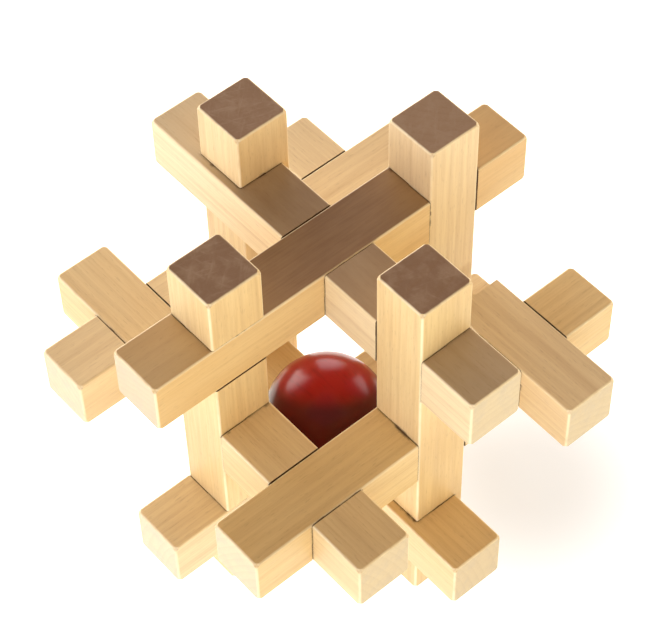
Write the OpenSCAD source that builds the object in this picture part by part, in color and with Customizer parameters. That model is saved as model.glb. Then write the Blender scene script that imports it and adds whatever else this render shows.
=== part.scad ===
// Twelve-stick burr cage with a captive ball.
// Three square frames of four sticks stand at right angles to each other
// around one centre, and every crossing is a halving joint. The cage stands
// on the feet of its four uprights, with x to the right, y to the back and
// z up.

/* [Sticks] */
// Width and height of a stick's square section
stick_w = 12; // [10:0.5:15]
// Length of a stick
stick_l = 90; // [75:1:120]
// Radius of a stick's long edges and end edges
edge_r = 0.5; // [0.3:0.1:1.5]
// How far along its edges each corner of a stick is rubbed off round
corner_worn = 1.6; // [0.8:0.1:3]

/* [Cage] */
// Clear space between two facing sticks of a frame
cage_gap = 40; // [32:1:50]

/* [Halving joints] */
// Play at each side of a stick in its notch
notch_clear = 0.15; // [0.05:0.05:0.3]
// Play between a sliding stick and the floor of its slot
slide_clear = 0.1; // [0.05:0.05:0.3]
// How much further than half its width a sliding stick goes before it is free
slide_extra = 0.8; // [0.2:0.1:2]

/* [Rest position] */
// How far the left upright has slid to the back
left_slid = 1.8; // [0:0.1:6]
// How far the bottom rail has slid to the front
bottom_slid = 2; // [0:0.1:6]

/* [Ball] */
// How much wider the ball is than the corner openings that hold it in
ball_over = 4.1; // [2:0.1:8]
// Play between the resting ball and the sticks around it
ball_clear = 0.1; // [0.05:0.05:0.3]

/* [Hidden] */
$fn = 64;

// Directions, for the run of a stick and for the side that a notch opens to
RIGHT = [1, 0, 0];
LEFT = [-1, 0, 0];
BACK = [0, 1, 0];
FRONT = [0, -1, 0];
UP = [0, 0, 1];
DOWN = [0, 0, -1];

// Distance of every stick's axis, and of its outer crossings, from the centre
half = (cage_gap + stick_w) / 2;
// Height of the cage's centre above the feet
centre_h = stick_l / 2;
// Length of a notch that holds one stick
notch_l = stick_w + 2 * notch_clear;
// How far a sliding stick travels: half its width frees it from the laps at
// both its ends
slide_l = stick_w / 2 + slide_extra;
// How far a cutting shape reaches past the surface it opens
over = 1;

// A corner is rounded as a small ball would leave it: how far the ball's
// centre lies from the corner's three faces, and its radius
corner_in = 1.25 * corner_worn;
corner_r = sqrt(pow(corner_in - corner_worn, 2) + 2 * pow(corner_in, 2));

// Each corner opening is bounded by six edges; these are the two distances
// from the cage's mid planes to the axes of their rounding
edge_near = stick_w / 2 - edge_r;
edge_far = cage_gap / 2 + edge_r;
// Diameter of the largest ball that a corner opening would let out
corner_d = 2 * ((edge_far - edge_near) / sqrt(2) - edge_r);
ball_d = corner_d + ball_over;
// The ball rests in the lower corner at the front right, on the bottom rail
// and against the sticks at the front and right; its centre is this far from
// each of the three mid planes
ball_seat = cage_gap / 2 - ball_d / 2 - ball_clear;

pale_wood = [0.93, 0.80, 0.55];
warm_wood = [0.87, 0.70, 0.45];
red_lacquer = [0.55, 0.05, 0.05];

function lengths(v) = [for (c = v) abs(c)];

// A rectangle with round corners
module soft_rect(x, y) {
    square([x - 2 * edge_r, y], center = true);
    square([x, y - 2 * edge_r], center = true);
    for (i = [-1, 1], j = [-1, 1])
        translate([i * (x / 2 - edge_r), j * (y / 2 - edge_r)]) circle(edge_r);
}

// What is rubbed off the corner that lies highest on all three axes
module corner_waste(size) {
    translate(size / 2 - [corner_in, corner_in, corner_in]) difference() {
        cube(corner_in + over);
        sphere(corner_r);
    }
}

// A block with all twelve edges rounded, and its corners a little more
module soft_block(size) {
    difference() {
        intersection() {
            linear_extrude(size.z, center = true) soft_rect(size.x, size.y);
            rotate([90, 0, 0]) linear_extrude(size.y, center = true) soft_rect(size.x, size.z);
            rotate([90, 0, 90]) linear_extrude(size.x, center = true) soft_rect(size.y, size.z);
        }
        for (i = [0, 1], j = [0, 1], k = [0, 1])
            mirror([i, 0, 0]) mirror([0, j, 0]) mirror([0, 0, k]) corner_waste(size);
    }
}

// The cut of one halving joint, at a distance along the stick from its
// middle. It takes away half the stick on one side. A slot makes it longer
// at one end and a little deeper, so that the crossing stick can slide.
module notch(run, at, side, slot = 0) {
    floor_drop = slot == 0 ? 0 : slide_clear;
    depth = stick_w / 2 + floor_drop + over;
    size = lengths(run) * (notch_l + abs(slot))
        + lengths(side) * depth
        + lengths(cross(run, side)) * (stick_w + 2 * over);
    translate(run * (at + slot / 2) + side * (depth / 2 - floor_drop)) cube(size, center = true);
}

// A stick through one point of the cage, cut at its middle and at both
// crossings inside its own frame. The sides are those that the low, middle
// and high notches open to.
module stick(run, place, low, middle, high, slot = 0) {
    size = lengths(run) * (stick_l - stick_w) + [stick_w, stick_w, stick_w];
    translate(place + [0, 0, centre_h]) difference() {
        soft_block(size);
        notch(run, -half, low);
        notch(run, 0, middle, slot);
        notch(run, half, high);
    }
}

// The uprights. Those at the left, front and back can slide sideways in a
// slot, and then lift outwards.
module upright_left() {
    color(pale_wood) translate(BACK * left_slid) stick(UP, LEFT * half, FRONT, RIGHT, FRONT);
}

module upright_right() {
    color(pale_wood) stick(UP, RIGHT * half, FRONT, LEFT, BACK);
}

module upright_front() {
    color(pale_wood) stick(UP, FRONT * half, RIGHT, BACK, RIGHT);
}

module upright_back() {
    color(pale_wood) stick(UP, BACK * half, LEFT, FRONT, LEFT);
}

// The rails run from left to right. The front and back rails have the slots
// of the uprights there. The bottom rail can slide to the front, and then
// drops out.
module rail_top() {
    color(warm_wood) stick(RIGHT, UP * half, BACK, UP, FRONT);
}

module rail_bottom() {
    color(warm_wood) translate(FRONT * bottom_slid) stick(RIGHT, DOWN * half, BACK, UP, BACK);
}

module rail_front() {
    color(warm_wood) stick(RIGHT, FRONT * half, DOWN, FRONT, UP, -slide_l);
}

module rail_back() {
    color(warm_wood) stick(RIGHT, BACK * half, UP, BACK, DOWN, slide_l);
}

// The beams run from front to back. The left beam has the slot of the
// upright there, and the bottom beam that of the bottom rail.
module beam_top() {
    color(warm_wood) stick(BACK, UP * half, LEFT, DOWN, RIGHT);
}

module beam_bottom() {
    color(warm_wood) stick(BACK, DOWN * half, LEFT, DOWN, RIGHT, -slide_l);
}

module beam_left() {
    color(warm_wood) stick(BACK, LEFT * half, UP, LEFT, DOWN, slide_l);
}

module beam_right() {
    color(warm_wood) stick(BACK, RIGHT * half, DOWN, RIGHT, UP);
}

// The ball lies loose in the cage
module ball() {
    color(red_lacquer) translate([ball_seat, -ball_seat, centre_h - ball_seat]) sphere(d = ball_d);
}

upright_left();
upright_right();
upright_front();
upright_back();
rail_top();
rail_bottom();
rail_front();
rail_back();
beam_top();
beam_bottom();
beam_left();
beam_right();
ball();
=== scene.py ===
"""A wooden burr puzzle with a captive ball, on a pale floor in soft studio light."""
import math

import bpy
from mathutils import Matrix, Vector


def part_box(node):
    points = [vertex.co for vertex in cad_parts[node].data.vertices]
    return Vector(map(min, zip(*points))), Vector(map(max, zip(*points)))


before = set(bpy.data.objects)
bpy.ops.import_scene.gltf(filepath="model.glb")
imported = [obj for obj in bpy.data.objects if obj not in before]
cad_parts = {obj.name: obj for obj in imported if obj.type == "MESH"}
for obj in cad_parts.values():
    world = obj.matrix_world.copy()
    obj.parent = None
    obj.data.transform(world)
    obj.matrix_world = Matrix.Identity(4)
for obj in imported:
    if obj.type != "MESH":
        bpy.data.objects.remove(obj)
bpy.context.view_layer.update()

MM = 0.001


# ---------------------------------------------------------------- camera
VIEW_AZIMUTH = math.radians(50.3)
VIEW_ELEVATION = math.radians(52.35)
VIEW_DISTANCE = 437.5 * MM
VIEW_ROLL = -0.0258
VIEW_TARGET = Vector((-3.7, 3.4, 48.7)) * MM
FOCAL_LENGTH = 122.6
SENSOR_WIDTH = 36.0
CLIP_START = 0.01
CLIP_END = 50.0


def make_camera():
    data = bpy.data.cameras.new("camera")
    data.lens = FOCAL_LENGTH
    data.sensor_width = SENSOR_WIDTH
    data.clip_start = CLIP_START
    data.clip_end = CLIP_END
    flat = math.cos(VIEW_ELEVATION)
    across = math.sin(VIEW_AZIMUTH) * flat
    forward = -math.cos(VIEW_AZIMUTH) * flat
    back = Vector((across, forward, math.sin(VIEW_ELEVATION)))
    camera = bpy.data.objects.new("camera", data)
    camera.matrix_world = (
        Matrix.Translation(VIEW_TARGET + back * VIEW_DISTANCE)
        @ back.to_track_quat("Z", "Y").to_matrix().to_4x4()
        @ Matrix.Rotation(VIEW_ROLL, 4, "Z")
    )
    bpy.context.scene.collection.objects.link(camera)
    bpy.context.scene.camera = camera


make_camera()


# ---------------------------------------------------------------- node helpers
class Nodes:
    """Short names for making and joining shader nodes in one tree."""

    def __init__(self, tree):
        self.tree = tree
        tree.nodes.clear()

    def add(self, kind, inputs=(), **settings):
        node = self.tree.nodes.new(kind)
        for key, value in settings.items():
            setattr(node, key, value)
        for key, value in dict(inputs).items():
            self.put(node.inputs[key], value)
        return node

    def put(self, socket, value):
        if isinstance(value, bpy.types.NodeSocket):
            self.tree.links.new(value, socket)
        else:
            socket.default_value = value

    def math(self, operation, a, b=0.0, c=0.0):
        node = self.add("ShaderNodeMath", operation=operation)
        for socket, value in zip(node.inputs, (a, b, c)):
            self.put(socket, value)
        return node.outputs[0]

    def times(self, a, b):
        return self.math("MULTIPLY", a, b)

    def plus(self, a, b):
        return self.math("ADD", a, b)

    def vector(self, operation, a, b=(0.0, 0.0, 0.0)):
        node = self.add("ShaderNodeVectorMath", operation=operation)
        self.put(node.inputs[0], a)
        self.put(node.inputs[1], b)
        return node.outputs["Value" if operation in ("LENGTH", "DOT_PRODUCT") else "Vector"]

    def split(self, vector):
        return self.add("ShaderNodeSeparateXYZ", {"Vector": vector}).outputs

    def join(self, x, y, z):
        return self.add("ShaderNodeCombineXYZ", {"X": x, "Y": y, "Z": z}).outputs[0]

    def noise(self, vector, scale=1.0, detail=3.0, roughness=0.5):
        node = self.add("ShaderNodeTexNoise", {
            "Vector": vector, "Scale": scale, "Detail": detail, "Roughness": roughness})
        return node.outputs["Fac"]

    def layer(self, point, layer, start):
        """Noise that is drawn out along the stick, as LAYERS describes it."""
        along, across, detail, roughness = layer
        stretched = self.join(self.math("MULTIPLY_ADD", point[0], along, start),
                              self.times(point[1], across), self.times(point[2], across))
        return self.noise(stretched, 1.0, detail, roughness)

    def ramp(self, value, low, high, to_low=0.0, to_high=1.0):
        node = self.add("ShaderNodeMapRange", {
            "Value": value, "From Min": low, "From Max": high, "To Min": to_low, "To Max": to_high},
            interpolation_type="SMOOTHSTEP")
        return node.outputs["Result"]

    def mix(self, share, a, b):
        node = self.add("ShaderNodeMix", data_type="RGBA")
        colours = [socket for socket in node.inputs if socket.type == "RGBA"]
        self.put(node.inputs[0], share)
        self.put(colours[0], a)
        self.put(colours[1], b)
        return next(socket for socket in node.outputs if socket.type == "RGBA")


def colour(red, green, blue):
    return (red, green, blue, 1.0)


def new_material(name):
    """A material with an empty node tree, and the helper that fills it."""
    material = bpy.data.materials.new(name)
    material.use_nodes = True
    return material, Nodes(material.node_tree)


# ---------------------------------------------------------------- wood: sizes and colours
AXES = {"upright": 2, "rail": 0, "beam": 1}
STICKS = sorted(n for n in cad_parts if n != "ball")
STICK_W = (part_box("upright_right")[1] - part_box("upright_right")[0]).x

# The layers of noise in the wood: how fast each one changes per metre along the stick and across it,
# then its detail and its roughness
LAYERS = {
    "wander": (9.0, 45.0, 2.0, 0.5),
    "fibre": (70.0, 2100.0, 3.0, 0.6),
    "streak": (16.0, 520.0, 3.0, 0.6),
    "pore": (420.0, 3000.0, 2.0, 0.5),
    "cloud": (26.0, 70.0, 3.0, 0.5),
    "blotch": (120.0, 260.0, 3.0, 0.6),
}
# How far apart in the noise the sticks lie, so that no two look alike
STICK_STEP = 7.3
# How far the grain bends, and how unevenly its rings are spaced
GRAIN_BEND = 2.6 * MM
RING_DRIFT = 1.8
RING_DRIFT_RATE = 160.0
# How strongly streaks, fibres and pores darken the wood
STREAK_SHARE = 0.22
FIBRE_SHARE = 0.16
PORE_SHARE = 0.17
# Between these distances from its middle a stick's painted top shade turns into that of its end
TOP_SHADE_NEAR = 12 * MM
TOP_SHADE_FAR = 36 * MM
# The sets of scratches that the saw left: the slant of each, and how many lie in a metre
SAW_CUTS = ((0.9, 900.0), (-0.4, 1200.0), (-2.4, 750.0))
SAW_LENGTHWAYS = 130.0
DUST_SHARE = 0.45
# How deep inside a stick's outline its painted edge highlight starts, and where it is palest
EDGE_STARTS = 0.50 * MM
EDGE_PALEST = 0.20 * MM
# Painted shade where sticks meet: how near the other stick is, how finely its reach varies, and its
# colour
SEAM_GAP = 0.8 * MM
SEAM_SPOT_RATE = 260.0
SEAM_SHADE_SHARE = 0.85
SEAM_SHADE = colour(0.09, 0.036, 0.013)
# Relief of the surface
RELIEF = 0.05 * MM
RELIEF_STRENGTH = 0.30

# Every stick's sides, unless GRAIN says otherwise. The top shade gives how much painted shade lies on
# a top face at the low end, the middle and the high end, in the brown that also darkens the growth
# rings on the ends.
SIDE_WOOD = {
    "pale": (0.82, 0.62, 0.308),
    "warm": (0.76, 0.53, 0.230),
    "dark": (0.50, 0.30, 0.13),
    "pore": (0.24, 0.12, 0.05),
    "rim": (0.95, 0.80, 0.52),
    "ring_brown_and_top_shade": (0.205, 0.103, 0.045),
    "cream": (0.93, 0.82, 0.60),
    "top_shade": (0.0, 0.0, 0.0),
}
# The sawn ends: their own colour and that of the dust in them, then the shares of end colour, growth
# rings and saw marks. Those of the uprights face up and are darker, partly as end grain and partly as
# painted shade.
ENDS = {
    "upright": dict(end=(0.20, 0.105, 0.056), dust=(0.33, 0.22, 0.145), end_share=0.95,
                    end_rings=0.20, saw=0.62),
    "rail": dict(end=(0.62, 0.51, 0.33), dust=(0.50, 0.43, 0.34), end_share=0.75,
                 end_rings=0.10, saw=0.35),
    "beam": dict(end=(0.70, 0.61, 0.43), dust=(0.56, 0.50, 0.41), end_share=0.80,
                 end_rings=0.10, saw=0.35),
}
# Each stick's own grain. heart and angle: how far away and in which direction the tree's middle lies,
# in mm and radians. ring: the width of a growth ring in mm. rings: how dark it is. fair: the share of
# cream in the wood.
GRAIN = {
    "upright_left": dict(heart=30, angle=0.7, ring=1.9, rings=0.16, fair=0.2,
                         end=(0.235, 0.130, 0.073)),
    "upright_right": dict(heart=70, angle=0.15, ring=3.2, rings=0.20, fair=0.05,
                          end_rings=0.55, saw=0.22),
    "upright_front": dict(heart=26, angle=4.1, ring=1.6, rings=0.14, fair=0.05, saw=0.45),
    "upright_back": dict(heart=34, angle=5.4, ring=1.8, rings=0.15, fair=0.35,
                         end=(0.275, 0.165, 0.095), saw=0.45),
    "rail_top": dict(heart=60, angle=1.57, ring=1.8, rings=0.16, fair=0.5, top_shade=(0.26, 0.75, 0.50)),
    "rail_bottom": dict(heart=38, angle=0.3, ring=2.0, rings=0.16, fair=0.1),
    "rail_front": dict(heart=45, angle=0.5, ring=1.5, rings=0.18, fair=0.2),
    "rail_back": dict(heart=28, angle=1.2, ring=2.1, rings=0.16, fair=0.45),
    "beam_top": dict(heart=50, angle=1.9, ring=1.4, rings=0.10, fair=0.0, top_shade=(0.36, 0.90, 0.18),
                     pale=(0.79, 0.57, 0.27), warm=(0.73, 0.48, 0.20), end=(0.69, 0.55, 0.40)),
    "beam_bottom": dict(heart=30, angle=2.8, ring=1.9, rings=0.18, fair=0.45),
    "beam_left": dict(heart=40, angle=0.9, ring=1.7, rings=0.16, fair=0.4),
    "beam_right": dict(heart=55, angle=2.5, ring=1.6, rings=0.18, fair=0.0),
}


# ---------------------------------------------------------------- wood: layers of the surface
def growth_rings(n, point, bends, start, tone):
    """The dark late growth of each ring, round the tree's heart and bent as the grain is."""
    side, up = point[1:]
    bend = n.times(n.plus(bends, -0.5), GRAIN_BEND)
    heart = tone["heart"] * MM
    y = n.plus(side, n.plus(bend, heart * math.cos(tone["angle"])))
    z = n.plus(up, n.plus(bend, heart * math.sin(tone["angle"])))
    radius = n.vector("LENGTH", n.join(0.0, y, z))
    drift = n.noise(n.join(0.0, n.times(radius, RING_DRIFT_RATE), start), detail=1.0)
    uneven = n.times(n.plus(drift, -0.5), RING_DRIFT)
    phase = n.math("FRACT", n.plus(n.math("DIVIDE", radius, tone["ring"] * MM), uneven))
    return n.times(n.math("POWER", phase, 2.2), n.ramp(phase, 1.0, 0.86))


def side_wood(n, figure, late, fleck, tone):
    """Slow clouds of pale wood, darkened by rings, longer streaks, fibres and short pores."""
    dark = colour(*tone["dark"])
    body = n.mix(n.ramp(figure["cloud"], 0.3, 0.7), colour(*tone["pale"]), colour(*tone["warm"]))
    fair = n.mix(tone["fair"], body, colour(*tone["cream"]))
    ringed = n.mix(n.times(late, tone["rings"]), fair, dark)
    streaked = n.mix(n.ramp(figure["streak"], 0.42, 0.75, 0.0, STREAK_SHARE), ringed, dark)
    fibred = n.mix(n.ramp(figure["fibre"], 0.35, 0.7, 0.0, FIBRE_SHARE), streaked, dark)
    return n.mix(n.times(fleck, PORE_SHARE), fibred, colour(*tone["pore"]))


def painted_top_shade(n, figure, along, upward, sides, tone):
    """Painted shade, in patches, on what faces up, set for the low end, the middle and the high end.
    """
    low_end, middle, high_end = tone["top_shade"]
    to_middle = n.ramp(along, -TOP_SHADE_FAR, -TOP_SHADE_NEAR, low_end, middle)
    to_end = n.ramp(along, TOP_SHADE_NEAR, TOP_SHADE_FAR, 0.0, high_end - middle)
    by_blotch = n.ramp(figure["blotch"], 0.30, 0.70, 1.03, 0.96)
    by_fibre = n.ramp(figure["fibre"], 0.36, 0.66, 1.02, 0.95)
    share = n.times(n.plus(to_middle, to_end), n.times(by_blotch, by_fibre))
    return n.mix(n.times(n.ramp(upward, 0.80, 0.92), share), sides, colour(*tone["ring_brown_and_top_shade"]))


def saw_marks(n, side, up, blotch, start):
    """Three sets of scratches that cross each other on a sawn end."""
    scratches = 0.0
    for slant, number in SAW_CUTS:
        length = math.hypot(1.0, slant)
        over = n.times(n.plus(side, n.times(up, slant)), number / length)
        down = n.times(n.plus(up, n.times(side, -slant)), SAW_LENGTHWAYS / length)
        marks = n.noise(n.join(over, down, start + slant), roughness=0.60)
        scratches = n.math("MAXIMUM", scratches, n.ramp(marks, 0.53, 0.74))
    return n.times(scratches, n.ramp(blotch, 0.30, 0.60, 0.35, 1.0))


def end_wood(n, blotch, late, saw, tone):
    """Cut fibres and ring bands, with dust in blotches and in the saw marks."""
    dust = colour(*tone["dust"])
    ringed = n.mix(n.times(late, tone["end_rings"]), colour(*tone["end"]), colour(*tone["ring_brown_and_top_shade"]))
    blotched = n.mix(n.ramp(blotch, 0.42, 0.72, 0.0, DUST_SHARE), ringed, dust)
    return n.mix(n.times(saw, tone["saw"]), blotched, dust)


def painted_edge_highlight(n, point, length, blotch):
    """How much painted highlight lies along the edges: all along them, but in patches."""
    near = []
    for value, size in zip(point, (length, STICK_W, STICK_W)):
        distance = n.math("ABSOLUTE", value)
        near.append(n.ramp(distance, size / 2 - EDGE_STARTS, size / 2 - EDGE_PALEST))
    by_end, by_side, by_top = near
    long_edge = n.times(by_side, by_top)
    end_edge = n.times(by_end, n.math("MAXIMUM", by_side, by_top))
    return n.times(n.math("MAXIMUM", long_edge, end_edge), n.ramp(blotch, 0.25, 0.6, 0.35, 0.85))


def painted_seam_shade(n, place):
    """How much painted shade lies where sticks meet, reaching further in noisy spots."""
    closeness = n.add("ShaderNodeAmbientOcclusion", {"Distance": SEAM_GAP}, samples=4).outputs["AO"]
    seam_spots = n.noise(n.vector("MULTIPLY", place, (SEAM_SPOT_RATE, SEAM_SPOT_RATE, SEAM_SPOT_RATE)), 1.0, 2.0, 0.6)
    reach = n.ramp(seam_spots, 0.46, 0.72, 0.55, 0.92)
    return n.times(n.ramp(n.math("SUBTRACT", closeness, reach), 0.04, -0.20), SEAM_SHADE_SHARE)


# ---------------------------------------------------------------- wood: the sticks
def make_wood(name, axis, centre, length, start, tone):
    """Straight-grained pale hardwood, worked out in three dimensions round the stick's own axis, so
    that growth rings seen on the sides carry over to the end grain."""
    material, n = new_material(name)
    coordinates = n.add("ShaderNodeTexCoord").outputs
    local = n.split(n.vector("SUBTRACT", coordinates["Object"], tuple(centre)))
    facing = n.split(coordinates["Normal"])
    side, up = (i for i in range(3) if i != axis)
    point = (local[axis], local[side], local[up])

    figure = {name: n.layer(point, layer, start) for name, layer in LAYERS.items()}
    blotch = figure["blotch"]
    fleck = n.ramp(figure["pore"], 0.58, 0.72)
    late = growth_rings(n, point, figure["wander"], start, tone)
    saw = saw_marks(n, point[1], point[2], blotch, start)
    end = n.ramp(n.math("ABSOLUTE", facing[axis]), 0.78, 0.92)

    sides = side_wood(n, figure, late, fleck, tone)
    # Painted shade: up-facing faces are darkened by the top shade shares
    top_shaded = painted_top_shade(n, figure, point[0], facing[2], sides, tone)
    ended = n.mix(n.times(end, tone["end_share"]), top_shaded, end_wood(n, blotch, late, saw, tone))
    # Painted highlight: the edges are made paler, in patches
    edge_lit = n.mix(painted_edge_highlight(n, point, length, blotch), ended, colour(*tone["rim"]))
    # Painted shade: darker where another stick is near, found with an ambient occlusion node
    surface = n.mix(painted_seam_shade(n, coordinates["Object"]), edge_lit, SEAM_SHADE)

    rough = n.plus(n.ramp(figure["fibre"], 0.3, 0.7, 0.42, 0.54), n.times(end, 0.20))
    cuts = n.plus(n.times(fleck, -0.6), n.times(saw, end))
    relief = n.plus(n.times(figure["fibre"], 0.5), cuts)
    bump = n.add("ShaderNodeBump", {
        "Height": relief, "Strength": RELIEF_STRENGTH, "Distance": RELIEF})
    shader = n.add("ShaderNodeBsdfPrincipled", {
        "Base Color": surface, "Roughness": rough, "Normal": bump.outputs[0], "IOR": 1.45})
    n.add("ShaderNodeOutputMaterial", {"Surface": shader.outputs[0]})
    return material


def dress(node, material):
    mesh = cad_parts[node].data
    mesh.materials.clear()
    mesh.materials.append(material)


for number, node in enumerate(STICKS):
    low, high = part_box(node)
    family = node.split("_")[0]
    axis = AXES[family]
    tone = {**SIDE_WOOD, **ENDS[family], **GRAIN[node]}
    length = (high - low)[axis]
    dress(node, make_wood(f"wood_{node}", axis, (low + high) / 2, length, STICK_STEP * number, tone))


# ---------------------------------------------------------------- ball
# The middle of the ball's lit side. Away from it the red is darker: painted shade.
PAINTED_LIT_SIDE = (-0.35, 0.29, 0.89)
LIT_SIDE_RED = colour(0.40, 0.006, 0.006)
PAINTED_SHADE_RED = colour(0.10, 0.0012, 0.0012)
CLOUD_DYE = colour(0.20, 0.002, 0.002)
GRAIN_DYE = colour(0.14, 0.0015, 0.0015)
BALL_CLOUDS = 90.0
BALL_GRAIN = (260.0, 1500.0, 1500.0)
BALL_PEEL = 520.0
PEEL_RELIEF = 0.04 * MM


def make_lacquer():
    """Deep red lacquer under a clear coat, with the wood just telling through, and painted shade
    darkening it away from its lit side.
    """
    material, n = new_material("lacquer_ball")
    coordinates = n.add("ShaderNodeTexCoord").outputs
    place = coordinates["Object"]
    cloud = n.noise(place, BALL_CLOUDS)
    grain = n.noise(n.vector("MULTIPLY", place, BALL_GRAIN))
    # Painted shade: the red darkens away from the ball's lit side
    bright = n.vector("DOT_PRODUCT", coordinates["Normal"], PAINTED_LIT_SIDE)
    shaded_red = n.mix(n.ramp(bright, 0.46, 0.75), PAINTED_SHADE_RED, LIT_SIDE_RED)
    clouded = n.mix(n.ramp(cloud, 0.35, 0.65, 0.0, 0.25), shaded_red, CLOUD_DYE)
    grained = n.mix(n.ramp(grain, 0.5, 0.75, 0.0, 0.30), clouded, GRAIN_DYE)
    peel = n.noise(place, BALL_PEEL, 2.0)
    bump = n.add("ShaderNodeBump", {"Height": peel, "Strength": 0.10, "Distance": PEEL_RELIEF})
    shader = n.add("ShaderNodeBsdfPrincipled", {
        "Base Color": grained, "Roughness": n.ramp(cloud, 0.3, 0.7, 0.30, 0.38),
        "Normal": bump.outputs[0], "IOR": 1.5, "Specular IOR Level": 0.1,
        "Coat Weight": 0.8, "Coat Roughness": 0.20, "Coat IOR": 1.42})
    n.add("ShaderNodeOutputMaterial", {"Surface": shader.outputs[0]})
    return material


dress("ball", make_lacquer())


# ---------------------------------------------------------------- floor
FLOOR_SIZE = 12.0
FLOOR_PAINT = colour(0.50, 0.49, 0.48)
# The floor's own glow is weaker and cooler in a soft patch behind the puzzle on the right: a painted
# shadow, which deepens the cast shadow that falls there
SHADE_AT = (0.028, 0.030, 0.0)
SHADE_CORE = 6 * MM
SHADE_EDGE = 48 * MM
SHADE_TINT_EDGE = 120 * MM
SHADE_GLOW = 0.59
OPEN_GLOW = 1.30
SHADE_TINT = colour(0.935, 0.955, 0.95)
OPEN_TINT = colour(1.0, 0.97, 0.84)


def make_floor():
    """A wide pale table that glows a little by itself, with a painted shadow patch in its glow."""
    bpy.ops.mesh.primitive_plane_add(size=FLOOR_SIZE, location=(0.0, 0.0, 0.0))
    floor = bpy.context.object
    floor.name = "floor"
    material, n = new_material("floor")
    place = n.add("ShaderNodeTexCoord").outputs["Object"]
    away = n.vector("LENGTH", n.vector("SUBTRACT", place, SHADE_AT))
    matte = n.add("ShaderNodeBsdfDiffuse", {"Color": FLOOR_PAINT})
    tint = n.mix(n.ramp(away, SHADE_EDGE, SHADE_TINT_EDGE), SHADE_TINT, OPEN_TINT)
    # Painted shadow: the glow is weaker near the fixed shade patch
    strength = n.ramp(away, SHADE_CORE, SHADE_EDGE, SHADE_GLOW, OPEN_GLOW)
    glow = n.add("ShaderNodeEmission", {"Color": tint, "Strength": strength})
    both = n.add("ShaderNodeAddShader", {0: matte.outputs[0], 1: glow.outputs[0]})
    n.add("ShaderNodeOutputMaterial", {"Surface": both.outputs[0]})
    floor.data.materials.append(material)


# ---------------------------------------------------------------- light
# Each lamp: the direction it stands in, the cosine of the angle to its edge, and its colour
LAMPS = (
    ((-0.95, 0.05, 0.30), 0.86, (5.0, 4.7, 4.3)),
    ((-0.72, 0.62, 0.31), 0.93, (3.4, 3.0, 2.9)),
    ((0.02, 0.97, 0.24), 0.93, (3.0, 2.7, 2.5)),
)
# The cosine of the angle within which a lamp is at its full strength
LAMP_CORE = 0.985
FRONT = (-0.30, -0.95, 0.0)
FRONT_LIGHT = colour(4.9, 5.15, 6.2)
BACK_LIGHT = colour(2.6, 2.12, 0.85)
CEILING = colour(0.40, 0.31, 0.235)
# The surround is bright up to the lower of these heights and turns into the ceiling by the upper
BAND_LOWER = 0.05
BAND_UPPER = 0.30


def make_world():
    """A low surround that is brightest and coolest at the front, soft lamps low on the left and at
    the back, and a dim ceiling."""
    world = bpy.data.worlds.new("studio")
    bpy.context.scene.world = world
    world.use_nodes = True
    n = Nodes(world.node_tree)
    direction = n.add("ShaderNodeTexCoord").outputs["Generated"]
    front = n.ramp(n.vector("DOT_PRODUCT", direction, FRONT), -1.0, 1.0)
    surround = n.mix(front, BACK_LIGHT, FRONT_LIGHT)
    band = n.ramp(n.split(direction)[2], BAND_UPPER, BAND_LOWER)
    lit = n.mix(band, CEILING, surround)
    for toward, edge, strength in LAMPS:
        facing = n.vector("DOT_PRODUCT", direction, tuple(Vector(toward).normalized()))
        lit = n.mix(n.ramp(facing, edge, LAMP_CORE), lit, colour(*strength))
    light = n.add("ShaderNodeBackground", {"Color": lit, "Strength": 1.0})
    n.add("ShaderNodeOutputWorld", {"Surface": light.outputs[0]})


make_floor()
make_world()
bpy.context.scene.view_settings.view_transform = "Standard"
